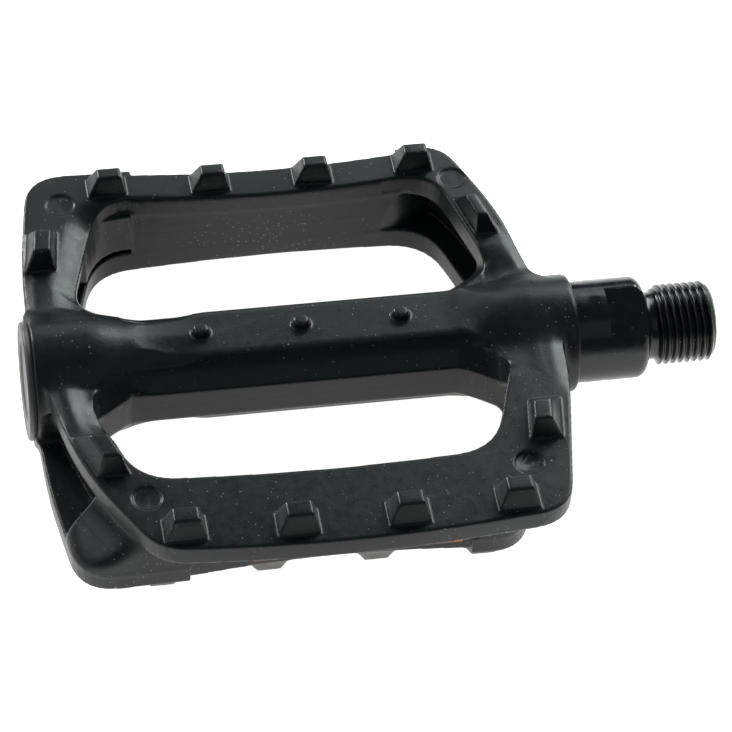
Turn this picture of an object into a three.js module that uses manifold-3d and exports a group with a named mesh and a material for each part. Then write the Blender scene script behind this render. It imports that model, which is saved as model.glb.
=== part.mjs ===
// A right-hand flat pedal: a moulded platform that spins on a threaded spindle.
// Frame: origin at the centre of the spindle's threaded end face, +Y out of that face,
// +X forward and +Z up. Lengths are in millimetres.
import * as THREE from "three";
import { mergeVertices } from "three/addons/utils/BufferGeometryUtils.js";
import Module from "manifold-3d";

const wasm = await Module();
wasm.setup();

// ---- Driving dimensions ----

// The platform is drawn about a datum on the spindle axis, this far inboard of the thread end.
const DATUM_Y = -67.8;

const PLATE_TOP = 8;
const PLATE_BOTTOM = 4;
const WEB_OVERLAP = 0.6;

// Outlines seen from above: [forward, along the spindle, how far the corner is rounded back].
const PLATE_OUTLINE = [
  [0, -52.2, 0],
  [-20, -52, 8],
  [-41.6, -48.9, 7],
  [-41.2, -30.2, 0],
  [-40.2, -30, 0],
  [-37.9, -6, 18],
  [-40, 17.8, 0],
  [-41.2, 18, 0],
  [-41.5, 26.4, 5],
  [-24.5, 33.6, 8],
  [0, 38.3, 0],
  [12, 39.5, 8],
  [46.3, 33.2, 6],
  [49.6, -4, 24],
  [46.8, -36.4, 5],
  [28, -47, 10],
];
const REAR_WINDOW = [
  [-5, -43.4, 0],
  [-14, -43.4, 6],
  [-35, -37, 7],
  [-31.3, -5, 20],
  [-34.6, 23.4, 6.5],
  [-12, 29.6, 6],
  [-5, 29.6, 0],
];
const FRONT_WINDOW = [
  [5, -43.6, 0],
  [10, -43.6, 4],
  [31.2, -38, 7],
  [33.3, -6, 20],
  [31.8, 22.8, 7],
  [10, 29.8, 5],
  [5, 29.8, 0],
];
// Half outline of the web between the plates. The other half is its mirror image.
const WEB_OUTLINE = [
  [0, -51.5, 0],
  [10, -49, 6],
  [38, -37, 6],
  [38, 25.5, 5],
  [12, 35.5, 6],
  [0, 37, 0],
];
const WEB_WINDOW = [
  [5, -45.4, 0],
  [10, -45, 4],
  [34.4, -35.6, 3],
  [34.4, -31, 1],
  [32.8, -30, 1],
  [32.8, 24.6, 1],
  [34.4, 25.6, 0.5],
  [10, 33, 4],
  [5, 33, 0],
];

// Each stud narrows from a footprint to a top, both [forward from, to, along the spindle from, to].
const STUD_TOP = 12;
const REAR_STUD = { foot: [-2.3, 2.5, -3.8, 3], top: [-0.75, 1.75, -2.05, 2.05] };
const FRONT_STUD = { foot: [-2.6, 2.8, -3.8, 3.2], top: [-1.6, 1.6, -2.25, 2.1] };
const OUTER_ARM_STUD = { foot: [-5.7, 3.6, -2.9, 2.4], top: [-2.5, 2.45, -1.5, 1.5] };
const CRANK_ARM_STUD = { foot: [-5.5, 3.4, -1.9, 3.7], top: [-2.2, 2.2, -1.5, 1.5] };
const SLIM_ARM_STUD = { foot: [-5.8, 3.6, -1.4, 2.6], top: [-2.5, 2.45, -0.95, 0.95] };
// [shape, forward, along the spindle, lean of its sides away from straight forward]
const STUDS = [
  [REAR_STUD, -37.55, -34.5, 0],
  [REAR_STUD, -36.45, -16.1, 0],
  [REAR_STUD, -36.4, 2.4, 0],
  [REAR_STUD, -37.45, 20.8, 0],
  [FRONT_STUD, 43, -31.4, 0],
  [FRONT_STUD, 44, -12.7, 0],
  [FRONT_STUD, 43.9, 5.9, 0],
  [FRONT_STUD, 43, 24.5, 0],
  [OUTER_ARM_STUD, -21.8, -48, -0.13],
  [OUTER_ARM_STUD, 27, -42.5, 0.36],
  [CRANK_ARM_STUD, 27.4, 31.35, -0.14],
  [SLIM_ARM_STUD, -21.7, 29.2, 0.26],
];

const BARREL_FLAT_Z = 7.5;
const BARREL_FLAT_HALF = 4;
const BARREL_SIDE_X = 8.75;
const BARREL_SIDE_HALF = 3.3;
const BARREL_START = -48;
const BARREL_END = 38;
const PIN_SPACING = 17.45;
const PIN_MIDDLE = -5.6;
const PIN_TOP = 9.8;

const OUTER_BOSS_R = 10.9;
const OUTER_BOSS_FACE = -52.4;
const CRANK_BOSS_R = 10.4;
const CRANK_BOSS_FACE = 42.6;
const BORE_R = 5.9;
const HOUSING_R = 9.3;

const RECESS_START = -27;
const RECESS_END = 18.7;
const RECESS_WALL_X = 36.2;
const LENS_FACE_X = 41.6;
const LENS_THICKNESS = 1.8;
const REFLECTOR_HALF_HEIGHT = 3.65;
const GAP = 0.3;

const THREAD_R = 7.14;
const THREAD_ROOT_R = 6.4;
const THREAD_PITCH = 1.27;
const THREAD_TURNS = 7;
const NECK_R = 6;
const SEAT_Y = -12.3;
const SHOULDER_R = 9;
const SHOULDER_FILLET = 2;
const SHOULDER_INNER_Y = -27.4;
const FLAT_HALF_WIDTH = 7.45;
const FLAT_START_Y = -19.5;
const FLAT_TURN = 24.2;

const BALL_R = 1.5875;
const BALL_ORBIT_R = 6.45;
const BALLS_PER_RACE = 12;
const RACE_CLEARANCE = 0.15;
const CRANK_BALLS = 37.6;
const OUTER_BALLS = -44.6;

const FINE = 32;

// ---- Materials ----

const finish = (colour, roughness, metalness) =>
  new THREE.MeshStandardMaterial({ color: colour, roughness, metalness });

const NYLON = finish(0x16191b, 0.48, 0);
const BLACK_STEEL = finish(0x0d0e10, 0.25, 0.6);
const BRIGHT_STEEL = finish(0xb8bcc0, 0.25, 1);
const CAP_PLASTIC = finish(0x1a1c1e, 0.55, 0);
const AMBER = finish(0xe06a10, 0.15, 0);
const RUBBER = finish(0x0c0c0c, 0.8, 0);

// ---- Solids ----

function solid(geometry) {
  geometry.deleteAttribute("normal");
  geometry.deleteAttribute("uv");
  const welded = mergeVertices(geometry, 1e-4);
  const made = new wasm.Manifold(
    new wasm.Mesh({
      numProp: 3,
      vertProperties: new Float32Array(welded.attributes.position.array),
      triVerts: new Uint32Array(welded.index.array),
    }),
  );
  return made;
}

const join = (solids) => solids.reduce((sum, piece) => sum.add(piece));
const cut = (body, tools) => tools.reduce((rest, tool) => rest.subtract(tool), body);

function mesh(name, made, material) {
  const data = made.getMesh();
  const geometry = new THREE.BufferGeometry();
  geometry.setAttribute("position", new THREE.BufferAttribute(data.vertProperties, 3));
  geometry.setIndex(new THREE.BufferAttribute(data.triVerts, 1));
  geometry.computeVertexNormals();
  const result = new THREE.Mesh(geometry, material);
  result.name = name;
  return result;
}

// A closed shape through the corners, each rounded back by its own distance.
function roundedShape(corners) {
  const at = (i) => new THREE.Vector2(...corners[(i + corners.length) % corners.length]);
  const shape = new THREE.Shape();
  corners.forEach(([, , back], i) => {
    const corner = at(i);
    const before = at(i - 1).sub(corner).setLength(back).add(corner);
    const after = at(i + 1).sub(corner).setLength(back).add(corner);
    if (i === 0) shape.moveTo(before.x, before.y);
    else shape.lineTo(before.x, before.y);
    if (back > 0) shape.quadraticCurveTo(corner.x, corner.y, after.x, after.y);
  });
  shape.closePath();
  return shape;
}

function slab(shape, low, high) {
  const geometry = new THREE.ExtrudeGeometry(shape, {
    depth: high - low,
    bevelEnabled: false,
    curveSegments: 5,
  });
  return solid(geometry.translate(0, 0, low));
}

// A shape drawn in X and Z, run along the spindle from one station to another.
function prism(shape, from, to) {
  const geometry = new THREE.ExtrudeGeometry(shape, { depth: to - from, bevelEnabled: false });
  return solid(geometry.rotateX(-Math.PI / 2).translate(0, from, 0));
}

// A solid turned about the spindle axis: [radius, station] from the lower end on the axis to the upper.
function turned(profile, segments = FINE) {
  const points = profile.map(([radius, y]) => new THREE.Vector2(radius, y));
  return solid(new THREE.LatheGeometry(points, segments));
}

const disc = (radius, from, to, segments = FINE) =>
  turned([[0, from], [radius, from], [radius, to], [0, to]], segments);

// A ring: the profile closes on itself, counter-clockwise with the radius to the right.
const ring = (profile, segments = FINE) => turned([...profile, profile[0]], segments);

function block(low, high) {
  const size = high.map((value, i) => value - low[i]);
  const centre = high.map((value, i) => (value + low[i]) / 2);
  return solid(new THREE.BoxGeometry(...size).translate(...centre));
}

// ---- Platform ----

function stud([shape, x, y, lean]) {
  const height = STUD_TOP - PLATE_TOP + WEB_OVERLAP;
  const geometry = new THREE.BoxGeometry(1, 1, height);
  const corners = geometry.attributes.position;
  for (let i = 0; i < corners.count; i += 1) {
    const [rear, front, left, right] = corners.getZ(i) > 0 ? shape.top : shape.foot;
    corners.setX(i, corners.getX(i) > 0 ? front : rear);
    corners.setY(i, corners.getY(i) > 0 ? right : left);
  }
  geometry.applyMatrix4(new THREE.Matrix4().makeShear(lean, 0, 0, 0, 0, 0));
  return solid(geometry.translate(x, y, STUD_TOP - height / 2));
}

function pin(y) {
  const height = PIN_TOP - BARREL_FLAT_Z + WEB_OVERLAP;
  const geometry = new THREE.CylinderGeometry(1.25, 1.9, height, 12);
  return solid(geometry.rotateX(Math.PI / 2).translate(0, y, PIN_TOP - height / 2));
}

function upperPlate() {
  const windows = [REAR_WINDOW, FRONT_WINDOW].map((corners) =>
    slab(roundedShape(corners), PLATE_BOTTOM - 2, PLATE_TOP + 1),
  );
  const plate = cut(slab(roundedShape(PLATE_OUTLINE), PLATE_BOTTOM, PLATE_TOP), windows);
  const pins = [-1, 0, 1].map((step) => pin(PIN_MIDDLE + step * PIN_SPACING));
  return join([plate, ...STUDS.map(stud), ...pins]);
}

function web() {
  const half = PLATE_BOTTOM + WEB_OVERLAP;
  const front = slab(roundedShape(WEB_OUTLINE), -half, half);
  const frontWindow = slab(roundedShape(WEB_WINDOW), -half - 1, half + 1);
  const frontHalf = cut(front, [frontWindow]);
  return frontHalf.add(frontHalf.rotate([0, 180, 0]));
}

function barrel() {
  const shape = new THREE.Shape([
    new THREE.Vector2(BARREL_FLAT_HALF, BARREL_FLAT_Z),
    new THREE.Vector2(-BARREL_FLAT_HALF, BARREL_FLAT_Z),
    new THREE.Vector2(-BARREL_SIDE_X, BARREL_SIDE_HALF),
    new THREE.Vector2(-BARREL_SIDE_X, -BARREL_SIDE_HALF),
    new THREE.Vector2(-BARREL_FLAT_HALF, -BARREL_FLAT_Z),
    new THREE.Vector2(BARREL_FLAT_HALF, -BARREL_FLAT_Z),
    new THREE.Vector2(BARREL_SIDE_X, -BARREL_SIDE_HALF),
    new THREE.Vector2(BARREL_SIDE_X, BARREL_SIDE_HALF),
  ]);
  const outerBoss = turned([
    [0, OUTER_BOSS_FACE],
    [OUTER_BOSS_R, OUTER_BOSS_FACE],
    [OUTER_BOSS_R, -43],
    [8.4, -33],
    [0, -33],
  ]);
  const crankBoss = turned([
    [0, 26],
    [8.4, 26],
    [CRANK_BOSS_R, 34],
    [CRANK_BOSS_R, CRANK_BOSS_FACE],
    [0, CRANK_BOSS_FACE],
  ]);
  return join([prism(shape, BARREL_START, BARREL_END), outerBoss, crankBoss]);
}

function reflectorRecess() {
  const z = REFLECTOR_HALF_HEIGHT + GAP;
  const low = [RECESS_WALL_X, RECESS_START, -z];
  return block(low, [60, RECESS_END, z]);
}

function platformBody() {
  const upper = upperPlate();
  const lower = upper.rotate([0, 180, 0]);
  const recess = reflectorRecess();
  const bores = [
    disc(BORE_R, -60, 60),
    disc(HOUSING_R, -60, OUTER_BALLS + 4.4),
    disc(HOUSING_R, CRANK_BALLS - 4.4, 60),
  ];
  const body = cut(join([upper, lower, web(), barrel()]), [
    recess,
    recess.rotate([0, 180, 0]),
    ...bores,
  ]);
  return mesh("platform_body", body, NYLON);
}

function reflector(side, turn) {
  const width = [RECESS_START + GAP, RECESS_END - GAP];
  const z = REFLECTOR_HALF_HEIGHT;
  const lensBack = LENS_FACE_X - LENS_THICKNESS;
  const lens = block([lensBack, width[0], -z], [LENS_FACE_X, width[1], z]);
  const backing = block([RECESS_WALL_X + GAP, width[0], -z], [lensBack - GAP, width[1], z]);
  return [
    mesh(side + "_reflector_lens", lens.rotate([0, turn, 0]), AMBER),
    mesh(side + "_reflector_backing", backing.rotate([0, turn, 0]), CAP_PLASTIC),
  ];
}

// A pressed bearing cup, drawn with its ball track facing the given way along the spindle.
function cup(name, balls, facing) {
  const track = BALL_ORBIT_R + BALL_R + RACE_CLEARANCE;
  const profile = [
    [BORE_R + GAP, -facing * 3.9],
    [HOUSING_R - RACE_CLEARANCE, -facing * 3.9],
    [HOUSING_R - RACE_CLEARANCE, facing * 1.9],
    [track, facing * 1.9],
    [track, -facing * 0.7],
    [BORE_R + GAP, -facing * 2.6],
  ];
  const ordered = facing > 0 ? profile : profile.reverse();
  return mesh(name, ring(ordered.map(([r, y]) => [r, y + balls])), BRIGHT_STEEL);
}

function dustCap() {
  const profile = [
    [0, OUTER_BOSS_FACE - 1.35],
    [OUTER_BOSS_R - 1, OUTER_BOSS_FACE - 1.35],
    [OUTER_BOSS_R - 0.6, OUTER_BOSS_FACE - 0.95],
    [OUTER_BOSS_R - 0.6, OUTER_BOSS_FACE - RACE_CLEARANCE],
    [HOUSING_R - GAP, OUTER_BOSS_FACE - RACE_CLEARANCE],
    [HOUSING_R - GAP, OUTER_BOSS_FACE + 2.6],
    [HOUSING_R - GAP - 1.4, OUTER_BOSS_FACE + 2.6],
    [HOUSING_R - GAP - 1.4, OUTER_BOSS_FACE + 0.1],
    [0, OUTER_BOSS_FACE + 0.1],
  ];
  return mesh("dust_cap", turned(profile), CAP_PLASTIC);
}

function dustSeal() {
  const low = CRANK_BALLS + 1.9 + RACE_CLEARANCE;
  const profile = [
    [6.6, low],
    [HOUSING_R - RACE_CLEARANCE, low],
    [HOUSING_R - RACE_CLEARANCE, low + 0.55],
    [6.6, low + 0.55],
  ];
  return mesh("crank_side_seal", ring(profile), RUBBER);
}

// ---- Spindle: stations in the row frame ----

const fromDatum = (station) => station + DATUM_Y;

function spindleProfile() {
  const race = fromDatum(CRANK_BALLS);
  const inner = BALL_ORBIT_R - BALL_R - RACE_CLEARANCE;
  const fillet = [30, 60].map((angle) => {
    const turn = THREE.MathUtils.degToRad(angle);
    return [
      SHOULDER_R - SHOULDER_FILLET * (1 - Math.cos(turn)),
      SEAT_Y - SHOULDER_FILLET * (1 - Math.sin(turn)),
    ];
  });
  const profile = [
    [0, fromDatum(-51.8)],
    [3.6, fromDatum(-51.8)],
    [4, fromDatum(-51.4)],
    [4, fromDatum(-41)],
    [4.6, fromDatum(-39)],
    [inner, fromDatum(26)],
    [inner, race + 0.8],
    [6, race + 2.1],
    [6, SHOULDER_INNER_Y],
    [SHOULDER_R, SHOULDER_INNER_Y],
    [SHOULDER_R, SEAT_Y - SHOULDER_FILLET],
    ...fillet,
    [SHOULDER_R - SHOULDER_FILLET, SEAT_Y],
    [NECK_R, SEAT_Y],
  ];
  const lastCrest = -1.1;
  for (let turn = THREAD_TURNS; turn >= 0; turn -= 1) {
    const crest = lastCrest - turn * THREAD_PITCH;
    profile.push([THREAD_ROOT_R, crest - THREAD_PITCH / 2]);
    profile.push([THREAD_R, crest - THREAD_PITCH / 8]);
    profile.push([THREAD_R, crest + THREAD_PITCH / 8]);
  }
  profile.push([THREAD_ROOT_R - 0.2, 0], [0, 0]);
  return profile;
}

function spindle() {
  const length = SEAT_Y - FLAT_START_Y + 0.5;
  const flats = [0, 180].map((side) => {
    const low = [-SHOULDER_R - 1, FLAT_START_Y, FLAT_HALF_WIDTH];
    const tool = block(low, [SHOULDER_R + 1, FLAT_START_Y + length, SHOULDER_R + 1]);
    return tool.rotate([0, side + FLAT_TURN, 0]);
  });
  return mesh("spindle", cut(turned(spindleProfile()), flats), BLACK_STEEL);
}

function outerCone() {
  const race = fromDatum(OUTER_BALLS);
  const inner = BALL_ORBIT_R - BALL_R - RACE_CLEARANCE;
  const profile = [
    [4.15, race - 3],
    [6.6, race - 3],
    [6.6, race - 1.9],
    [inner, race - 0.8],
    [inner, race + 1.8],
    [4.15, race + 1.8],
  ];
  return mesh("outer_cone", ring(profile), BRIGHT_STEEL);
}

function tabWasher() {
  const low = fromDatum(OUTER_BALLS) - 4.1;
  const profile = [
    [4.15, low],
    [6.8, low],
    [6.8, low + 0.8],
    [4.15, low + 0.8],
  ];
  return mesh("tab_washer", ring(profile), BRIGHT_STEEL);
}

function lockNut() {
  const high = fromDatum(OUTER_BALLS) - 4.4;
  const hexagon = new THREE.Shape();
  for (let corner = 0; corner < 6; corner += 1) {
    const angle = (corner * Math.PI) / 3;
    const point = [7 * Math.cos(angle), 7 * Math.sin(angle)];
    if (corner === 0) hexagon.moveTo(...point);
    else hexagon.lineTo(...point);
  }
  hexagon.closePath();
  const nut = cut(prism(hexagon, high - 2.6, high), [disc(4.15, high - 4, high + 1)]);
  return mesh("lock_nut", nut, BRIGHT_STEEL);
}

function balls(prefix, station) {
  const made = [];
  for (let i = 0; i < BALLS_PER_RACE; i += 1) {
    const angle = (2 * Math.PI * i) / BALLS_PER_RACE;
    const geometry = new THREE.SphereGeometry(BALL_R, 10, 6);
    const ball = new THREE.Mesh(geometry, BRIGHT_STEEL);
    ball.name = prefix + "_ball_" + String(i + 1).padStart(2, "0");
    ball.position.set(
      BALL_ORBIT_R * Math.cos(angle),
      fromDatum(station),
      BALL_ORBIT_R * Math.sin(angle),
    );
    made.push(ball);
  }
  return made;
}

// ---- Assembly ----

const platform = new THREE.Group();
platform.position.y = DATUM_Y;
platform.add(
  platformBody(),
  ...reflector("front", 0),
  ...reflector("rear", 180),
  cup("crank_side_cup", CRANK_BALLS, 1),
  cup("outer_cup", OUTER_BALLS, -1),
  dustSeal(),
  dustCap(),
);

const pedal = new THREE.Group();
pedal.add(
  platform,
  spindle(),
  outerCone(),
  tabWasher(),
  lockNut(),
  ...balls("crank_side", CRANK_BALLS),
  ...balls("outer", OUTER_BALLS),
);

export default pedal;
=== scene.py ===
"""The finished look of the flat pedal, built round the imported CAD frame.

Shapes are worked out in millimetres in the platform's own frame: X forward, Y along the spindle
towards the crank, Z up, with the datum on the spindle axis. Pieces are then placed in metres.
"""

import math

import bpy
import numpy as np
from mathutils import Matrix, Vector


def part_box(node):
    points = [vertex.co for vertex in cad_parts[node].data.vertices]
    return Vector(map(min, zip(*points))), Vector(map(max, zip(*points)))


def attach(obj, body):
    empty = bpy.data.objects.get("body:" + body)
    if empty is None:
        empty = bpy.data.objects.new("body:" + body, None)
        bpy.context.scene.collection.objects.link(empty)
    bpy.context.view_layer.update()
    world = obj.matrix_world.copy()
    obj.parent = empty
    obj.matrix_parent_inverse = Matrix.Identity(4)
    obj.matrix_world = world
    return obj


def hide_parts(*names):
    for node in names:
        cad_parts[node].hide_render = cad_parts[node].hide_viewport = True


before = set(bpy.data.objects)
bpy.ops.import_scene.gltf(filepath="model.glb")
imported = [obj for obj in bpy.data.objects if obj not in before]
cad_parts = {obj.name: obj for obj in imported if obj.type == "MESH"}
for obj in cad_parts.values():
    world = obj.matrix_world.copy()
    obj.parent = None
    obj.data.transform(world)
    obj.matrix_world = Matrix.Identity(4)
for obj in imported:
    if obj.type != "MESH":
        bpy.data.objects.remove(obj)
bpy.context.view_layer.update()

# ---- Driving dimensions, in millimetres ----

MM = 0.001
CRANK_FACE = 42.6
# How far the platform's datum lies along the row frame's Y.
DATUM_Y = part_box("platform_body")[1].y / MM - CRANK_FACE

GRID_STEP = 0.3
GRID_HALF_X = 50.4
GRID_LOW_Y = -54.0
GRID_HIGH_Y = 44.0
GRID_HALF_Z = 13.2

PLATE_TOP = 8.0
PLATE_BOTTOM = 4.0
EDGE_ROUND = 0.35
STUD_TOP = 12.0

# Outlines in plan: (forward, along the spindle, how far the corner is rounded back).
PLATE_OUTLINE = [
    (0, -52.4, 0),
    (-20, -52.0, 8),
    (-41.6, -48.9, 7),
    (-41.2, -30.2, 0),
    (-40.2, -30.0, 0),
    (-37.9, -6, 18),
    (-40.0, 17.8, 0),
    (-41.2, 18.0, 0),
    (-41.5, 26.4, 5),
    (-24.5, 33.6, 8),
    (0, 38.3, 0),
    (12, 39.5, 8),
    (46.3, 33.2, 6),
    (49.6, -4, 24),
    (46.8, -36.4, 5),
    (28, -47, 10),
]
REAR_WINDOW = [
    (-5, -40.4, 0),
    (-8.6, -43.4, 3),
    (-14, -43.2, 3),
    (-35, -37, 7),
    (-31.3, -5, 20),
    (-34.6, 23.4, 6.5),
    (-12, 29.4, 6),
    (-7.6, 29.6, 2),
    (-5, 24.0, 0),
]
FRONT_WINDOW = [
    (5, -40.4, 0),
    (8.6, -43.6, 3),
    (14, -43.0, 3),
    (31.2, -38, 7),
    (33.3, -6, 20),
    (31.8, 22.8, 7),
    (10, 29.8, 4),
    (5, 26.4, 0),
]

BARREL_R = 9.4
BARREL_FLAT_Z = 7.5
BARREL_RISE = 4.2
BARREL_SIDE_X = 8.75
BARREL_SLANT = 8.27
SLANT_X, SLANT_Z = 0.662, 0.749
BARREL_SIDE_HALF = 3.3
BELT_REACH = 3
BELT_START = -46
BELT_END = 33

PIN_MIDDLE = -5.6
PIN_SPACING = 17.45
PIN_R = 1.95
PIN_TAPER = 0.28
PIN_TOP = 9.8

OUTER_FACE = -52.4
OUTER_BOSS_R = 10.9
CRANK_BOSS_R = 10.4
BORE_R = 5.9
HOUSING_R = 9.3
HOUSING_DEPTH = 4.4
OUTER_BALLS = -44.6
CRANK_BALLS = 37.6

RECESS = (-27.0, 18.7)
RECESS_WALL_X = 36.2
RECESS_HALF_Z = 3.9


# ---- Distance fields: negative inside, in millimetres ----


def smooth_union(a, b, k):
    """The union of two distance fields, filleted over k."""
    h = np.clip(0.5 + 0.5 * (b - a) / k, 0, 1)
    return b + (a - b) * h - k * h * (1 - h)


def smooth_meet(a, b, k):
    """Where both fields are inside, with the edge rounded over k."""
    return -smooth_union(-a, -b, k)


def smooth_cut(a, b, k):
    """Field a with b taken away."""
    return -smooth_union(-a, b, k)


def ramp(value, start, end):
    """From 0 at start to 1 at end, with flat ends."""
    t = np.clip((value - start) / (end - start), 0, 1)
    return t * t * (3 - 2 * t)


def rounded_outline(corners, steps=8):
    """Points along a closed outline whose corners are rounded back by their own distances."""
    places = np.array([corner[:2] for corner in corners], float)
    points = []
    for i, (corner, back) in enumerate(zip(places, [corner[2] for corner in corners])):
        towards = places[i - 1] - corner
        onward = places[(i + 1) % len(places)] - corner
        before = corner + towards / np.linalg.norm(towards) * back
        after = corner + onward / np.linalg.norm(onward) * back
        for t in np.linspace(0, 1, steps if back else 1):
            points.append(before * (1 - t) ** 2 + corner * 2 * t * (1 - t) + after * t * t)
    return np.array(points)


def outline_distance(points, x, y):
    """Signed distance to a closed outline at every place of a plan grid."""
    nearest = np.full(np.broadcast(x, y).shape, 1e9, np.float32)
    inside = np.zeros(nearest.shape, bool)
    for a, b in zip(points, np.roll(points, -1, axis=0)):
        run = b - a
        length = float(run @ run)
        if length < 1e-12:
            continue
        u, v = x - a[0], y - a[1]
        t = np.clip((u * run[0] + v * run[1]) / length, 0, 1)
        nearest = np.minimum(nearest, (u - run[0] * t) ** 2 + (v - run[1] * t) ** 2)
        crosses = (a[1] <= y) != (b[1] <= y)
        with np.errstate(divide="ignore", invalid="ignore"):
            inside ^= crosses & (u < run[0] * v / run[1])
    return np.where(inside, -1, 1) * np.sqrt(nearest)


def line_distance(points, x, y):
    """Distance to an open line of points in plan."""
    nearest = np.full(np.broadcast(x, y).shape, 1e9, np.float32)
    for a, b in zip(points[:-1], points[1:]):
        run = np.subtract(b, a)
        u, v = x - a[0], y - a[1]
        t = np.clip((u * run[0] + v * run[1]) / float(run @ run), 0, 1)
        nearest = np.minimum(nearest, (u - run[0] * t) ** 2 + (v - run[1] * t) ** 2)
    return np.sqrt(nearest)


class Field:
    """A distance field on a grid that is symmetric under a half turn about the spindle."""

    def __init__(self, step):
        self.step = step
        nx = round(GRID_HALF_X / step)
        nz = round(GRID_HALF_Z / step)
        self.x = (np.arange(-nx, nx + 1) * step).astype(np.float32)
        self.y = np.arange(GRID_LOW_Y, GRID_HIGH_Y, step, dtype=np.float32)
        self.z = (np.arange(-nz, nz + 1) * step).astype(np.float32)
        self.values = np.full((len(self.x), len(self.y), len(self.z)), 20, np.float32)

    def window(self, low, high):
        return tuple(
            slice(*np.searchsorted(axis, (a, b)))
            for axis, a, b in zip((self.x, self.y, self.z), low, high)
        )

    def places(self, window):
        x = self.x[window[0]][:, None, None]
        y = self.y[window[1]][None, :, None]
        z = self.z[window[2]][None, None, :]
        return x, y, z

    def change(self, low, high, how, shape, blend):
        """Joins or cuts a shape, a function of x, y and z, inside a box of the grid."""
        window = self.window(low, high)
        self.values[window] = how(self.values[window], shape(*self.places(window)), blend)

    def half_turned(self):
        return self.values[::-1, :, ::-1]


# ---- The platform moulding ----


def plan_windows(x, y):
    """Distance in plan to the nearer of the upper plate's two windows."""
    front = outline_distance(rounded_outline(FRONT_WINDOW), x, y)
    rear = outline_distance(rounded_outline(REAR_WINDOW), x, y)
    return np.minimum(front, rear)


def window_wall(x, y, z):
    """Distance to the windows, whose walls run straight from the top outlines to the bottom ones."""
    share = np.clip((z + PLATE_TOP) / (2 * PLATE_TOP), 0, 1)
    return plan_windows(x, y) * share + plan_windows(-x, y) * (1 - share)


# How far from the spindle the arms' rolled edges reach: crank side, outer rear and outer front.
CRANK_ROLL_END = 16
REAR_ROLL_END = 35
FRONT_ROLL_END = 24
ROLL_FADE = 7
INNER_ROLL = 1.9
OUTER_ROLL = 0.6


def upper_plate(x, y, z):
    """The upper tread, whose arms roll down to the windows and a little to the outside."""
    outline = outline_distance(rounded_outline(PLATE_OUTLINE), x, y)
    window = plan_windows(x, y)
    roll_end = np.where(y > 0, CRANK_ROLL_END, np.where(x < 0, REAR_ROLL_END, FRONT_ROLL_END))
    arm = ramp(np.abs(y), 22, 28) * (1 - ramp(np.abs(x), roll_end - ROLL_FADE, roll_end))
    inner_roll = INNER_ROLL * arm * (1 - ramp(window, -0.5, 6.0)) ** 1.5
    outer_roll = OUTER_ROLL * (1 - ramp(np.abs(x), 14, 22)) * (1 - ramp(-outline, -0.3, 3.0)) ** 1.5
    plate = np.maximum(outline, -window_wall(x, y, z))
    thick = smooth_meet(z - PLATE_TOP + inner_roll + outer_roll, PLATE_BOTTOM - z, EDGE_ROUND)
    return smooth_meet(plate, thick, EDGE_ROUND)


# Each stud narrows from a foot to a top, both (forward from, to, along the spindle from, to).
REAR_STUD = ((-2.3, 2.5, -3.8, 3.0), (-0.75, 1.75, -2.05, 2.05))
FRONT_STUD = ((-2.6, 2.8, -3.8, 3.2), (-1.6, 1.6, -2.25, 2.1))
OUTER_ARM_STUD = ((-5.7, 3.6, -2.9, 2.4), (-2.5, 2.45, -1.5, 1.5))
CRANK_ARM_STUD = ((-5.5, 3.4, -1.9, 3.7), (-2.2, 2.2, -1.5, 1.5))
SLIM_ARM_STUD = ((-5.8, 3.6, -1.4, 2.6), (-2.5, 2.45, -0.95, 0.95))
# (shape, forward, along the spindle, lean of its sides away from straight forward)
STUDS = [
    (REAR_STUD, -37.55, -34.5, 0),
    (REAR_STUD, -36.45, -16.1, 0),
    (REAR_STUD, -36.4, 2.4, 0),
    (REAR_STUD, -37.45, 20.8, 0),
    (FRONT_STUD, 43, -31.4, 0),
    (FRONT_STUD, 44, -12.7, 0),
    (FRONT_STUD, 43.9, 5.9, 0),
    (FRONT_STUD, 43, 24.5, 0),
    (OUTER_ARM_STUD, -21.8, -48.0, -0.13),
    (OUTER_ARM_STUD, 26.5, -42.7, 0.36),
    (CRANK_ARM_STUD, 27.4, 31.35, -0.14),
    (SLIM_ARM_STUD, -21.7, 29.2, 0.26),
]


def stud_shape(stud, forward, along, lean):
    """One stud. It reaches into the plate, but never past its outline or into a window."""
    foot, top = stud
    height = STUD_TOP - PLATE_TOP

    def shape(x, y, z):
        u = x - forward
        v = y - along - lean * u
        rise = (z - PLATE_TOP) / height
        rear, front, left, right = (
            sign * (across - a - (b - a) * rise) * height / math.hypot(height, b - a)
            for sign, across, a, b in zip((-1, 1, -1, 1), (u, u, v, v), foot, top)
        )
        body = smooth_meet(np.maximum(rear, front), np.maximum(left, right), 0.25)
        outline = outline_distance(rounded_outline(PLATE_OUTLINE), x, y)
        on_plate = np.maximum(outline, -plan_windows(x, y)) + 0.05
        on_plate = np.maximum(on_plate, PLATE_BOTTOM + 1 - z)
        return np.maximum(smooth_meet(body, z - STUD_TOP, 0.3), on_plate)

    return shape


def studs(field):
    for stud, forward, along, lean in STUDS:
        low = (forward - 8, along - 8, PLATE_BOTTOM + 0.5)
        high = (forward + 8, along + 8, STUD_TOP + 1)
        field.change(low, high, smooth_union, stud_shape(stud, forward, along, lean), 0.3)


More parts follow.
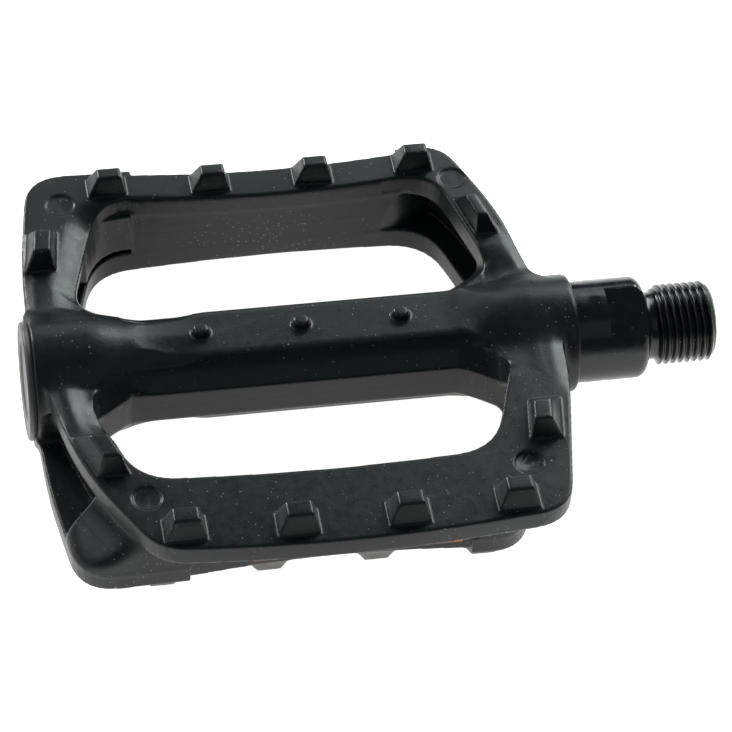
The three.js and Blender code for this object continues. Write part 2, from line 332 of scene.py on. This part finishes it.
# The web between the plates, in plan, for the front half. A half turn makes the rear half.
OUTER_ARM_LINE = [(6, -48.0), (14, -46.6), (24, -43.6), (32, -39.4), (36, -36.4)]
CRANK_ARM_LINE = [(6, 35.2), (14, 34.2), (23, 31.8), (31, 28.6), (36, 25.8)]
BAR_ENDS = (-31.0, 14.0)
PAD_X = (32.7, 36.4)
PAD_Y = (-37.6, -31.2)
RIB_HALF = 1.1
CORNER_WALL = 2.4
CORNER_WALL_TOP = 3.2
CORNER_WALL_START_X = 25
CORNER_WALL_END_Y = -29
OVERLAP = 0.8
OUTER_CORNER = [
    (29.3, -44, 0),
    (34.4, -37.6, 2),
    (34.4, -29, 0),
    (60, -29, 0),
    (60, -60, 0),
    (36.5, -60, 0),
]
CRANK_CORNER = [
    (32.2, 12, 0),
    (33.8, 19.5, 4),
    (37.4, 26, 4),
    (31, 31.5, 0),
    (29, 45, 0),
    (60, 45, 0),
    (60, 12, 0),
]
COVE = 9.0


def web(x, y, z):
    """Ribs under the arms and coved blocks under the corners, from plate to plate."""
    upper = outline_distance(rounded_outline(PLATE_OUTLINE), x, y)
    lower = outline_distance(rounded_outline(PLATE_OUTLINE), -x, y)
    window = window_wall(x, y, z)
    between_plates = np.abs(z) - PLATE_BOTTOM - OVERLAP
    arm_lines = np.minimum(line_distance(OUTER_ARM_LINE, x, y), line_distance(CRANK_ARM_LINE, x, y))
    corner = np.minimum(
        outline_distance(rounded_outline(OUTER_CORNER), x, y),
        outline_distance(rounded_outline(CRANK_CORNER), x, y),
    )
    fall = np.clip((PLATE_BOTTOM - z) / (2 * PLATE_BOTTOM), 0, 1)
    skin = smooth_meet(np.maximum(upper + 0.5, lower) - COVE * fall**1.5, lower, 3.0)
    blocks = np.maximum(smooth_meet(skin, corner, 1.0), -window)
    reach = np.maximum(CORNER_WALL_START_X - x, y - CORNER_WALL_END_Y)
    behind = np.maximum(np.maximum(-window, window - CORNER_WALL), reach)
    pad = np.maximum(np.maximum(PAD_X[0] - x, x - PAD_X[1]), np.maximum(PAD_Y[0] - y, y - PAD_Y[1]))
    filled = np.maximum(smooth_union(behind, pad, 1.2), z - CORNER_WALL_TOP)
    walls = smooth_union(arm_lines - RIB_HALF, np.minimum(blocks, filled), 1.5)
    return np.maximum(np.maximum(walls, between_plates), 1 - x)


def bar_wall(x, y, z):
    """The wall behind a reflector, flush with the windows of both plates."""
    ends = np.maximum(BAR_ENDS[0] - y, y - BAR_ENDS[1])
    sides = np.maximum(-window_wall(x, y, z), x - RECESS_WALL_X)
    return np.maximum(np.maximum(sides, ends), np.abs(z) - PLATE_TOP + OVERLAP)


def barrel_shape(x, y, z):
    """An eight-sided bar that swells into round bosses, with a belt that flares along both sides."""
    x, z = np.abs(x), np.abs(z)
    outward = np.maximum(ramp(y, 22, 31), ramp(-y, 31, 42))
    rise = BARREL_RISE * np.maximum(ramp(y, 18.5, 38.5), ramp(-y, 26, 46))
    flare = 0.36 * np.maximum(y - 20.5, 0) ** 1.25 + 0.7 * np.maximum(-36 - y, 0)
    crank_boss = (CRANK_BOSS_R - BARREL_R) * ramp(y, 26, 35)
    outer_boss = (OUTER_BOSS_R - BARREL_R) * ramp(-y, 34, 43)
    radius = BARREL_R + crank_boss + outer_boss
    side = BARREL_SIDE_X + flare
    slant = BARREL_SLANT + SLANT_X * flare
    slope = SLANT_X * x + SLANT_Z * z
    faces = smooth_meet(z - BARREL_FLAT_Z - rise, slope - slant - 2.5 * outward, 0.2)
    core = smooth_meet(smooth_meet(faces, x - side, 0.2), np.sqrt(x * x + z * z) - radius, 0.3)
    belt = smooth_meet(x - side, slope - slant, 0.2)
    belt = np.maximum(belt, z - BARREL_SIDE_HALF - BELT_REACH)
    belt = np.maximum(belt, np.maximum(y - BELT_END, BELT_START - y))
    inside = smooth_union(core, belt, 0.4)
    return smooth_meet(smooth_meet(inside, OUTER_FACE - y, 0.5), y - CRANK_FACE, 0.9)


def pin_shape(along):
    def shape(x, y, z):
        z = np.abs(z)
        radius = PIN_R - (z - BARREL_FLAT_Z) * PIN_TAPER
        around = np.sqrt(x * x + (y - along) ** 2) - radius
        return np.maximum(smooth_meet(around, z - PIN_TOP, 0.4), BARREL_FLAT_Z - 1 - z)

    return shape


def tube(radius, start, end):
    """A round hole along the spindle axis."""
    def shape(x, y, z):
        return np.maximum(np.sqrt(x * x + z * z) - radius, np.maximum(start - y, y - end))

    return shape


def recess_shape(x, y, z):
    ends = np.maximum(RECESS[0] - y, y - RECESS[1])
    return np.maximum(np.maximum(RECESS_WALL_X - x, ends), np.abs(z) - RECESS_HALF_Z)


def rear_recess_shape(x, y, z):
    return recess_shape(-x, y, -z)


# Shallow round marks that the mould's ejectors leave: (forward, along the spindle, depth).
EJECTOR_MARKS = [(-34.0, -43.5, 0.24), (-32.6, 27.0, 0.24), (35.5, -36.9, 0.3), (35.6, 27.8, 0.5)]
EJECTOR_R = 2.45


def ejector_shape(forward, along, depth):
    def shape(x, y, z):
        around = np.sqrt((x - forward) ** 2 + (y - along) ** 2) - EJECTOR_R
        return np.maximum(around, PLATE_TOP - depth - z)

    return shape


# Further than the platform reaches in any direction.
FAR = 60


def platform_field():
    field = Field(GRID_STEP)
    field.change((-FAR, -FAR, 1.5), (FAR, FAR, 13), smooth_union, upper_plate, 0.4)
    studs(field)
    field.change((0, -FAR, -5.5), (FAR, FAR, 5.5), smooth_union, web, 0.5)
    field.change((28, -33, -8), (FAR, 24, 8), smooth_union, bar_wall, 0.1)
    for forward, along, depth in EJECTOR_MARKS:
        low = (forward - 4, along - 4, 6)
        high = (forward + 4, along + 4, 11)
        field.change(low, high, smooth_cut, ejector_shape(forward, along, depth), 0.12)
    field.values = smooth_union(field.values, field.half_turned(), 0.3)
    field.change((-30, -54, -13), (30, 44, 13), smooth_union, barrel_shape, 2.2)
    for along in (PIN_MIDDLE - PIN_SPACING, PIN_MIDDLE, PIN_MIDDLE + PIN_SPACING):
        field.change((-4, along - 4, -11), (4, along + 4, 11), smooth_union, pin_shape(along), 0.35)
    field.change((30, -30, -6), (FAR, 25, 6), smooth_cut, recess_shape, 0.3)
    field.change((-FAR, -30, -6), (-30, 25, 6), smooth_cut, rear_recess_shape, 0.3)
    for radius, start, end in (
        (BORE_R, -FAR, FAR),
        (HOUSING_R, -FAR, OUTER_BALLS + HOUSING_DEPTH),
        (HOUSING_R, CRANK_BALLS - HOUSING_DEPTH, FAR),
    ):
        reach = radius + 2
        low, high = (-reach, -FAR, -reach), (reach, FAR, reach)
        field.change(low, high, smooth_cut, tube(radius, start, end), 0.25)
    return field


# ---- From a field to a mesh ----


def sample(field, points):
    """Values of a field at points, by straight interpolation between grid places."""
    start = np.array([field.x[0], field.y[0], field.z[0]])
    place = (points - start) / field.step
    cell = np.clip(np.floor(place).astype(int), 0, np.array(field.values.shape) - 2)
    share = np.clip(place - cell, 0, 1)
    total = np.zeros(len(points))
    for corner in np.ndindex(2, 2, 2):
        weight = np.prod(np.where(corner, share, 1 - share), axis=1)
        total += weight * field.values[tuple((cell + corner).T)]
    return total


def slopes(field, points, reach=0.3):
    """Unit normals of a field at points."""
    steps = np.eye(3) * reach
    slope = [sample(field, points + step) - sample(field, points - step) for step in steps]
    slope = np.stack(slope, axis=1)
    return slope / np.maximum(np.linalg.norm(slope, axis=1, keepdims=True), 1e-9)


def shade_from_field(piece, field, offset, limit=25):
    """Takes the field's own normals, but keeps a face flat where they turn away from it."""
    mesh = piece.data
    places = np.empty(len(mesh.vertices) * 3)
    mesh.vertices.foreach_get("co", places)
    normals = slopes(field, places.reshape(-1, 3) / MM - offset)
    flat = np.empty(len(mesh.polygons) * 3)
    mesh.polygons.foreach_get("normal", flat)
    corners = np.empty(len(mesh.loops), np.int32)
    mesh.loops.foreach_get("vertex_index", corners)
    sizes = np.empty(len(mesh.polygons), np.int32)
    mesh.polygons.foreach_get("loop_total", sizes)
    flat = np.repeat(flat.reshape(-1, 3), sizes, axis=0)
    smooth = normals[corners]
    turned = np.sum(flat * smooth, axis=1, keepdims=True) < math.cos(math.radians(limit))
    mesh.normals_split_custom_set(np.where(turned, flat, smooth).tolist())


def surface_net(field):
    """Vertices in millimetres and quads on the zero surface of a field."""
    f = field.values
    inside = f < 0
    count = np.zeros(tuple(n - 1 for n in f.shape), np.uint8)
    for corner in np.ndindex(2, 2, 2):
        count += inside[tuple(slice(c, c + n - 1) for c, n in zip(corner, f.shape))]
    active = (count > 0) & (count < 8)
    cells = np.argwhere(active)
    ids = np.full(active.shape, -1, np.int32)
    ids[active] = np.arange(len(cells))
    total = np.zeros((len(cells), 3))
    crossings = np.zeros((len(cells), 1))
    for axis in range(3):
        for corner in np.ndindex(2, 2, 2):
            if corner[axis]:
                continue
            a = np.array(corner)
            b = a.copy()
            b[axis] = 1
            fa = f[tuple((cells + a).T)]
            fb = f[tuple((cells + b).T)]
            crosses = (fa < 0) != (fb < 0)
            t = np.where(crosses, fa / np.where(crosses, fa - fb, 1), 0)
            total += np.where(crosses[:, None], a + t[:, None] * (b - a), 0)
            crossings += crosses[:, None]
    grid = cells + total / crossings
    start = np.array([field.x[0], field.y[0], field.z[0]])
    quads = []
    for axis in range(3):
        along = [slice(1, -1)] * 3
        ahead = [slice(1, -1)] * 3
        along[axis] = slice(1, -2)
        ahead[axis] = slice(2, -1)
        first, second = inside[tuple(along)], inside[tuple(ahead)]
        for sign in (True, False):
            edge = np.argwhere((first == sign) & (second != sign)) + 1
            u, v = np.eye(3, dtype=int)[(axis + 1) % 3], np.eye(3, dtype=int)[(axis + 2) % 3]
            ring = [edge - u - v, edge - v, edge, edge - u]
            if not sign:
                ring.reverse()
            quads.append(np.stack([ids[tuple(cell.T)] for cell in ring], axis=1))
    return start + grid * field.step, np.concatenate(quads)


# ---- Meshes and where they go ----


def mesh_from(name, points, faces, smooth=True):
    """An object in the row frame from points in millimetres and faces of any size."""
    mesh = bpy.data.meshes.new(name)
    mesh.from_pydata(np.asarray(points, float) * MM, [], faces)
    if smooth:
        mesh.shade_smooth()
    made = bpy.data.objects.new(name, mesh)
    bpy.context.scene.collection.objects.link(made)
    return made


def place(piece, body, stands_for, slot, look):
    """Gives a piece its body and its material, and hides the CAD node it stands for. The slot is not
    used.
    """
    piece.data.materials.append(look)
    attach(piece, body)
    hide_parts(stands_for)
    return piece


def thin_out(piece, share):
    """Merges faces where the surface is nearly flat until this share of them is left."""
    modifier = piece.modifiers.new("thin_out", "DECIMATE")
    modifier.ratio = share
    apply_modifiers(piece)


def apply_modifiers(piece):
    evaluated = piece.evaluated_get(bpy.context.evaluated_depsgraph_get())
    old = piece.data
    piece.data = bpy.data.meshes.new_from_object(evaluated)
    piece.modifiers.clear()
    bpy.data.meshes.remove(old)


def ring_skin(name, rings):
    """A skin through (y, radii) rings of equal steps round the spindle axis, closed at both ends.

    The radii start at up and go round towards forward.
    """
    steps = len(rings[0][1])
    angles = ring_angles(steps)
    points = []
    for y, radii in rings:
        points += list(zip(radii * np.sin(angles), np.full(steps, y), radii * np.cos(angles)))
    points += [(0, rings[0][0], 0), (0, rings[-1][0], 0)]
    first, last = len(points) - 2, len(points) - 1
    top = (len(rings) - 1) * steps
    faces = []
    for i in range(steps):
        j = (i + 1) % steps
        for low in range(0, top, steps):
            high = low + steps
            faces.append((low + i, high + i, high + j, low + j))
        faces.append((i, j, first))
        faces.append((top + j, top + i, last))
    return mesh_from(name, points, faces)


def ring_angles(steps):
    return np.arange(steps) * 2 * math.pi / steps


# ---- Steel spindle, with a helical thread ----

THREAD_R = 7.14
THREAD_ROOT_R = 6.35
THREAD_PITCH = 1.27
THREAD_START = -10.6
THREAD_RUN_OUT = 0.9
END_CHAMFER = 1.15
NECK_R = 6.0
NECK_FILLET = 0.8
SEAT_Y = -12.3
SHOULDER_R = 9.0
SHOULDER_EDGE = 1.9
SHOULDER_START = -27.4
FLAT_HALF = 7.45
FLAT_START = -19.5
FLAT_TURN = 24.2
# (y in the row frame, radius) from the far end of the axle up to the shoulder.
AXLE = [
    (-119.6, 3.9),
    (-118.8, 4.6),
    (-104.5, 4.6),
    (-104.0, 5.0),
    (-96, 5.0),
    (-34, 6.3),
    (-27.6, 6.3),
]


def thread_radius(y, angle):
    """A right-hand vee thread that runs out on the neck and is chamfered at its end."""
    turn = (y - THREAD_PITCH * angle / (2 * math.pi)) / THREAD_PITCH
    vee = np.abs(turn - np.floor(turn) - 0.5) * 2
    crest = THREAD_ROOT_R + (THREAD_R - THREAD_ROOT_R) * np.clip(vee * 1.5 - 0.22, 0, 1)
    run_out = np.clip((y - THREAD_START) / THREAD_RUN_OUT, 0, 1)
    end = THREAD_R + 0.1 - END_CHAMFER * np.clip(y + 1.0, 0, 1)
    return np.minimum(NECK_R + (crest - NECK_R) * run_out, end)


def spindle_radius(y, angle):
    if y >= THREAD_START:
        return thread_radius(y, angle)
    if y > SEAT_Y:
        fillet = max(0, NECK_FILLET - (y - SEAT_Y)) ** 2 * 0.9
        return np.full(len(angle), NECK_R + fillet)
    if y > SHOULDER_START:
        into = max(0, y - (SEAT_Y - SHOULDER_EDGE)) / SHOULDER_EDGE
        r = SHOULDER_R - SHOULDER_EDGE * (1 - math.sqrt(max(0, 1 - into * into)))
        radius = np.full(len(angle), r)
        facing = np.abs(np.cos(angle - math.radians(FLAT_TURN)))
        across = FLAT_HALF / np.maximum(facing, 1e-3)
        if y >= FLAT_START:
            radius = np.minimum(radius, across)
        return radius
    ys, rs = zip(*AXLE)
    return np.full(len(angle), np.interp(y, ys, rs))


def spindle_stations():
    axle = [y for y, _ in AXLE] + [SHOULDER_START + 0.01]
    shoulder = list(np.arange(SHOULDER_START + 0.4, FLAT_START - 0.02, 0.5))
    shoulder += [FLAT_START - 0.02, FLAT_START]
    flats = list(np.linspace(FLAT_START + 0.4, SEAT_Y - SHOULDER_EDGE, 8))
    edge = list(SEAT_Y - SHOULDER_EDGE + SHOULDER_EDGE * np.sin(np.linspace(0.1, math.pi / 2, 10)))
    neck = list(SEAT_Y + np.array([0.001, 0.2, 0.4, 0.8])) + [THREAD_START - 0.05]
    thread = list(np.arange(THREAD_START, -0.02, THREAD_PITCH / 12)) + [-0.35, 0.0]
    return sorted(axle + shoulder + flats + edge + neck + thread)


def spindle():
    angles = ring_angles(160)
    rings = [(y, spindle_radius(y, angles)) for y in spindle_stations()]
    piece = ring_skin("spindle_forging", rings)
    sharpen(piece, 14, SEAT_Y - 0.1)
    return place(piece, "spindle", "spindle", "black_steel", glossy_steel())


def sharpen(piece, degrees, up_to_y):
    """Keeps the edges that turn by more than this sharp, up to a station in millimetres."""
    mesh = piece.data
    mesh.set_sharp_from_angle(angle=math.radians(degrees))
    for edge in mesh.edges:
        if edge.use_edge_sharp and mesh.vertices[edge.vertices[0]].co.y > up_to_y * MM:
            edge.use_edge_sharp = False


# ---- Dust cap ----

CAP_R = 10.35
CAP_LOW, CAP_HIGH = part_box("dust_cap")


def dust_cap():
    face = CAP_LOW.y / MM
    inner = CAP_HIGH.y / MM
    profile = [
        (face + 0.45, 0.6),
        (face + 0.45, 6.6),
        (face + 0.42, 6.9),
        (face + 0.12, 7.15),
        (face + 0.1, 7.4),
        (face + 0.1, 9.3),
        (face, 9.6),
        (face, 9.95),
        (face + 0.12, 10.22),
        (face + 0.4, CAP_R),
        (face + 1.3, CAP_R),
        (face + 1.35, 9.0),
        (inner, 8.9),
        (inner, 0.6),
    ]
    rings = [(y, np.full(96, radius)) for y, radius in profile]
    piece = ring_skin("dust_cap_moulding", rings)
    return place(piece, "platform", "dust_cap", "cap_plastic", worn_cap())


# ---- Reflector lenses: smooth outside, a grid of facets inside ----

LENS_COLUMNS = 60
LENS_ROWS = 10
LENS_THICKNESS = 1.6
LENS_PROUD = 0.15
LENS_OUTER_GAP = 7.0
LENS_CRANK_GAP = 2.4
FACET_DEPTH = 0.45


def reflector_lens(node, facing):
    """A lens in its CAD node's box, short of both ends. It faces forward for 1, rearward for -1."""
    low, high = (np.array(corner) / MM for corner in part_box(node))
    outer_x = (high[0] if facing > 0 else low[0]) + facing * LENS_PROUD
    low[1] += LENS_OUTER_GAP
    high[1] -= LENS_CRANK_GAP
    points = []
    for layer in (0, 1):
        for i, y in enumerate(np.linspace(low[1], high[1], LENS_COLUMNS + 1)):
            for j, z in enumerate(np.linspace(low[2], high[2], LENS_ROWS + 1)):
                back = LENS_THICKNESS + FACET_DEPTH * ((i + j) % 2)
                points.append((outer_x - facing * layer * back, y, z))
    piece = mesh_from(node + "_moulding", points, lens_faces(facing), smooth=False)
    return place(piece, "platform", node, "amber_lens", amber())


def lens_faces(facing):
    def at(layer, i, j):
        return (layer * (LENS_COLUMNS + 1) + i) * (LENS_ROWS + 1) + j

    faces = []
    for i in range(LENS_COLUMNS):
        for j in range(LENS_ROWS):
            faces.append([at(0, i, j), at(0, i + 1, j), at(0, i + 1, j + 1), at(0, i, j + 1)])
            faces.append([at(1, i, j), at(1, i, j + 1), at(1, i + 1, j + 1), at(1, i + 1, j)])
        faces.append([at(1, i, 0), at(1, i + 1, 0), at(0, i + 1, 0), at(0, i, 0)])
        top = LENS_ROWS
        faces.append([at(0, i, top), at(0, i + 1, top), at(1, i + 1, top), at(1, i, top)])
    for j in range(LENS_ROWS):
        faces.append([at(1, 0, j + 1), at(1, 0, j), at(0, 0, j), at(0, 0, j + 1)])
        end = LENS_COLUMNS
        faces.append([at(0, end, j + 1), at(0, end, j), at(1, end, j), at(1, end, j + 1)])
    return faces if facing > 0 else [face[::-1] for face in faces]


# ---- Materials ----


class Look:
    """A procedural material with small helpers for its nodes."""

    def __init__(self, name, **settings):
        self.material = bpy.data.materials.new(name)
        self.material.use_nodes = True
        self.nodes = self.material.node_tree.nodes
        self.links = self.material.node_tree.links
        self.shader = self.nodes["Principled BSDF"]
        for socket, value in settings.items():
            self.shader.inputs[socket.replace("_", " ")].default_value = value
        self.place = self.nodes.new("ShaderNodeTexCoord").outputs["Object"]

    def link(self, out, into):
        self.links.new(out, into)

    def noise(self, per_metre, detail=3.0, roughness=0.5):
        node = self.nodes.new("ShaderNodeTexNoise")
        node.inputs["Scale"].default_value = per_metre
        node.inputs["Detail"].default_value = detail
        node.inputs["Roughness"].default_value = roughness
        self.link(self.place, node.inputs["Vector"])
        return node.outputs["Fac"]

    def cells(self, per_metre):
        node = self.nodes.new("ShaderNodeTexVoronoi")
        node.inputs["Scale"].default_value = per_metre
        self.link(self.place, node.inputs["Vector"])
        return node

    def spread(self, value, low, high, out_low=0.0, out_high=1.0):
        """Takes value from low..high to out_low..out_high, and holds it there outside."""
        node = self.nodes.new("ShaderNodeMapRange")
        for socket, number in zip(node.inputs[1:5], (low, high, out_low, out_high)):
            socket.default_value = number
        self.link(value, node.inputs["Value"])
        return node.outputs["Result"]

    def math(self, operation, a, b):
        node = self.nodes.new("ShaderNodeMath")
        node.operation = operation
        for socket, value in zip(node.inputs, (a, b)):
            if isinstance(value, (int, float)):
                socket.default_value = value
            else:
                self.link(value, socket)
        return node.outputs["Value"]

    def mix(self, share, first, second):
        node = self.nodes.new("ShaderNodeMix")
        node.data_type = "RGBA"
        self.link(share, node.inputs["Factor"])
        for socket, value in zip(node.inputs[6:8], (first, second)):
            if isinstance(value, tuple):
                socket.default_value = (*value, 1)
            else:
                self.link(value, socket)
        return node.outputs[2]

    def colour(self, out):
        self.link(out, self.shader.inputs["Base Color"])

    def rough(self, out):
        self.link(out, self.shader.inputs["Roughness"])

    def bump(self, height, distance_mm):
        node = self.nodes.new("ShaderNodeBump")
        node.inputs["Distance"].default_value = distance_mm * MM
        node.inputs["Strength"].default_value = 1.0
        self.link(height, node.inputs["Height"])
        self.link(node.outputs["Normal"], self.shader.inputs["Normal"])

    def edges(self, low, high):
        """Near 1 on convex edges, from how pointed the mesh is there."""
        out = self.nodes.new("ShaderNodeNewGeometry").outputs["Pointiness"]
        return self.spread(out, low, high)

    def axes(self):
        """The X, Y and Z of a place on the piece, in metres."""
        split = self.nodes.new("ShaderNodeSeparateXYZ")
        self.link(self.place, split.inputs[0])
        return split.outputs

    def parting_line(self, half_width):
        """Near 1 in a thin band at mid height, where the halves of a mould meet."""
        height = self.math("ABSOLUTE", self.axes()["Z"], 0)
        return self.spread(height, half_width, 2 * half_width, 1.0, 0.0)

    def specks(self, per_metre, share, size):
        """Sparse dots, such as dust: a share of the cells holds a dot of this size of a cell."""
        cells = self.cells(per_metre)
        dot = self.spread(cells.outputs["Distance"], size, size * 0.6)
        split = self.nodes.new("ShaderNodeSeparateColor")
        self.link(cells.outputs["Color"], split.inputs["Color"])
        chosen = self.math("LESS_THAN", split.outputs["Red"], share)
        return self.math("MULTIPLY", dot, chosen)


def nylon():
    look = Look("black_nylon", IOR=1.42)
    tone = look.mix(look.noise(90, 4), (0.007, 0.010, 0.011), (0.013, 0.0145, 0.015))
    worn = look.mix(look.edges(0.57, 0.68), tone, (0.035, 0.037, 0.036))
    parted = look.mix(look.parting_line(0.07 * MM), worn, (0.003, 0.003, 0.003))
    dust = look.math(
        "MULTIPLY",
        look.math("MAXIMUM", look.specks(1500, 0.16, 0.19), look.specks(700, 0.08, 0.14)),
        look.spread(look.noise(60, 2), 0.40, 0.56),
    )
    look.colour(look.mix(dust, parted, (0.28, 0.28, 0.26)))
    look.rough(look.spread(look.noise(700, 4), 0.3, 0.7, 0.27, 0.38))
    look.bump(look.noise(2600, 3), 0.02)
    return look.material


def glossy_steel():
    look = Look("glossy_black_steel", Roughness=0.16, Metallic=0.0)
    tone = look.mix(look.noise(140, 3), (0.004, 0.0045, 0.006), (0.009, 0.009, 0.010))
    bare = look.spread(look.axes()["Y"], -0.9 * MM, -0.5 * MM, 0.0, 0.9)
    ended = look.mix(bare, tone, (0.33, 0.36, 0.28))
    look.colour(look.mix(look.specks(1300, 0.12, 0.2), ended, (0.14, 0.14, 0.13)))
    look.rough(look.spread(look.noise(500, 4), 0.35, 0.7, 0.12, 0.3))
    look.bump(look.noise(900, 3), 0.015)
    return look.material


def worn_cap():
    look = Look("cap_plastic", Roughness=0.5)
    tone = look.mix(look.noise(120, 4), (0.05, 0.05, 0.048), (0.09, 0.088, 0.083))
    scuffed = look.mix(look.noise(500, 5, 0.7), tone, (0.16, 0.155, 0.145))
    look.colour(look.mix(look.edges(0.51, 0.56), scuffed, (0.34, 0.33, 0.31)))
    look.rough(look.spread(look.noise(600, 4), 0.3, 0.7, 0.32, 0.5))
    look.bump(look.noise(2600, 3), 0.02)
    return look.material


def plain_black():
    look = Look("moulded_black", Roughness=0.5)
    look.colour(look.mix(look.noise(200, 3), (0.011, 0.012, 0.012), (0.022, 0.022, 0.022)))
    look.rough(look.spread(look.noise(900, 3), 0.3, 0.7, 0.42, 0.6))
    look.bump(look.noise(2400, 2), 0.02)
    return look.material


def rubber():
    look = Look("seal_rubber", Roughness=0.75)
    look.colour(look.mix(look.noise(400, 3), (0.010, 0.010, 0.010), (0.02, 0.02, 0.02)))
    look.rough(look.spread(look.noise(900, 3), 0.3, 0.7, 0.65, 0.85))
    look.bump(look.noise(3000, 2), 0.02)
    return look.material


def bearing_steel():
    look = Look("bearing_steel", Roughness=0.25, Metallic=1.0)
    look.colour(look.mix(look.noise(300, 3), (0.50, 0.50, 0.51), (0.62, 0.62, 0.63)))
    look.rough(look.spread(look.noise(1500, 4), 0.3, 0.7, 0.18, 0.34))
    look.bump(look.noise(4000, 2), 0.004)
    return look.material


def amber():
    look = Look("amber_lens", Transmission_Weight=0.15, IOR=1.49)
    look.colour(look.mix(look.noise(120, 2), (0.9, 0.20, 0.012), (0.95, 0.30, 0.03)))
    look.rough(look.spread(look.noise(500, 3), 0.3, 0.7, 0.08, 0.2))
    return look.material


# ---- Camera, lights and floor ----

VIEW_TURN = -12.64
VIEW_HEIGHT = 47.46
VIEW_ROLL = 4.20
VIEW_DISTANCE = 664.26
VIEW_TARGET = (3.56, -62.157, 0)
VIEW_LENS = 187.5
SENSOR_WIDTH = 36
FLOOR_Z = -STUD_TOP - 0.1
FLOOR_CENTRE = (-14.9, -54.6)
FLOOR_TURN = -7.2
LIT_HALF = (91, 73)
FLOOR_HALF = 1.6


def direction(azimuth, height):
    """A unit vector at an azimuth, counted from +X towards +Y, and a height in degrees."""
    turn, rise = math.radians(azimuth), math.radians(height)
    level = math.cos(rise)
    return Vector((math.cos(turn) * level, math.sin(turn) * level, math.sin(rise)))


def camera():
    data = bpy.data.cameras.new("view")
    data.lens = VIEW_LENS
    data.sensor_width = SENSOR_WIDTH
    made = bpy.data.objects.new("view", data)
    bpy.context.scene.collection.objects.link(made)
    turn = math.radians(VIEW_TURN)
    back = direction(VIEW_TURN, VIEW_HEIGHT)
    right = Vector((-math.sin(turn), math.cos(turn), 0))
    up = back.cross(right)
    axes = Matrix((right, up, back)).transposed().to_4x4()
    place = Matrix.Translation((Vector(VIEW_TARGET) + back * VIEW_DISTANCE) * MM)
    made.matrix_world = place @ axes @ Matrix.Rotation(math.radians(VIEW_ROLL), 4, "Z")
    bpy.context.scene.camera = made


def area_light(name, azimuth, height, distance, size, watts, tint):
    """A soft box that looks at the pedal from a distance in metres."""
    data = bpy.data.lights.new(name, "AREA")
    data.shape = "RECTANGLE"
    data.size, data.size_y = size
    data.energy = watts
    data.color = tint
    made = bpy.data.objects.new(name, data)
    bpy.context.scene.collection.objects.link(made)
    away = direction(azimuth, height)
    centre = Vector((0, VIEW_TARGET[1] * MM, 0))
    made.location = centre + away * distance
    made.rotation_euler = away.to_track_quat("Z", "Y").to_euler()


def lights():
    world = bpy.data.worlds.new("studio")
    bpy.context.scene.world = world
    world.use_nodes = True
    background = world.node_tree.nodes["Background"]
    background.inputs["Color"].default_value = (0.72, 0.92, 1.0, 1)
    background.inputs["Strength"].default_value = 0.1
    area_light("crank_side_rear", 134, 31, 0.7, (0.45, 0.35), 3.5, (0.92, 0.99, 1.0))
    area_light("rear", 172, 33, 0.42, (0.25, 0.2), 0.17, (0.93, 0.99, 1.0))
    area_light("outer_side_rear", 216, 24, 0.9, (0.3, 0.3), 5.0, (0.96, 0.99, 1.0))
    area_light("outer_side", 266, 30, 0.8, (0.6, 0.3), 0.8, (0.97, 0.98, 1.0))
    area_light("front", 13, 48, 1.2, (1.0, 0.8), 0.5, (0.85, 0.94, 1.0))


def floor():
    """A pale sheet, turned so that its lit part ends just outside the picture."""
    corners = [(-1, -1), (1, -1), (1, 1), (-1, 1)]
    mesh = bpy.data.meshes.new("floor")
    mesh.from_pydata([(x * FLOOR_HALF, y * FLOOR_HALF, 0) for x, y in corners], [], [(0, 1, 2, 3)])
    made = bpy.data.objects.new("floor", mesh)
    made.location = Vector((*FLOOR_CENTRE, FLOOR_Z)) * MM
    made.rotation_euler.z = math.radians(FLOOR_TURN)
    bpy.context.scene.collection.objects.link(made)
    mesh.materials.append(light_table())


def light_table():
    """Pale all over, and lit from within under the pedal."""
    look = Look("light_table", Roughness=0.9)
    look.shader.inputs["Base Color"].default_value = (0.9, 0.9, 0.88, 1)
    look.shader.inputs["Emission Color"].default_value = (1.0, 0.98, 0.96, 1)
    axes = look.axes()
    across = [
        look.math("DIVIDE", look.math("ABSOLUTE", axes[axis], 0), half * MM)
        for axis, half in zip("XY", LIT_HALF)
    ]
    glow = look.spread(look.math("MAXIMUM", *across), 1.0, 1.12, 1.0, 0.2)
    look.link(glow, look.shader.inputs["Emission Strength"])
    return look.material


# ---- Putting it together ----

BODY_FACES = 175000


def platform():
    field = platform_field()
    points, quads = surface_net(field)
    piece = mesh_from("platform_moulding", points + (0, DATUM_Y, 0), quads.tolist())
    thin_out(piece, BODY_FACES / (2 * len(quads)))
    shade_from_field(piece, field, (0, DATUM_Y, 0))
    return place(piece, "platform", "platform_body", "black_nylon", nylon())


NODE_LOOKS = [
    (("outer_cone", "tab_washer", "lock_nut", "crank_side_cup", "outer_cup", "_ball_"), bearing_steel),
    (("crank_side_seal",), rubber),
    (("reflector_backing",), plain_black),
]


def finish_cad_nodes():
    for names, look in NODE_LOOKS:
        material = look()
        for name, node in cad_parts.items():
            if any(part in name for part in names):
                node.data.materials.clear()
                node.data.materials.append(material)


camera()
lights()
floor()
platform()
spindle()
dust_cap()
reflector_lens("front_reflector_lens", 1)
reflector_lens("rear_reflector_lens", -1)
finish_cad_nodes()
bpy.context.scene.view_settings.view_transform = "Standard"
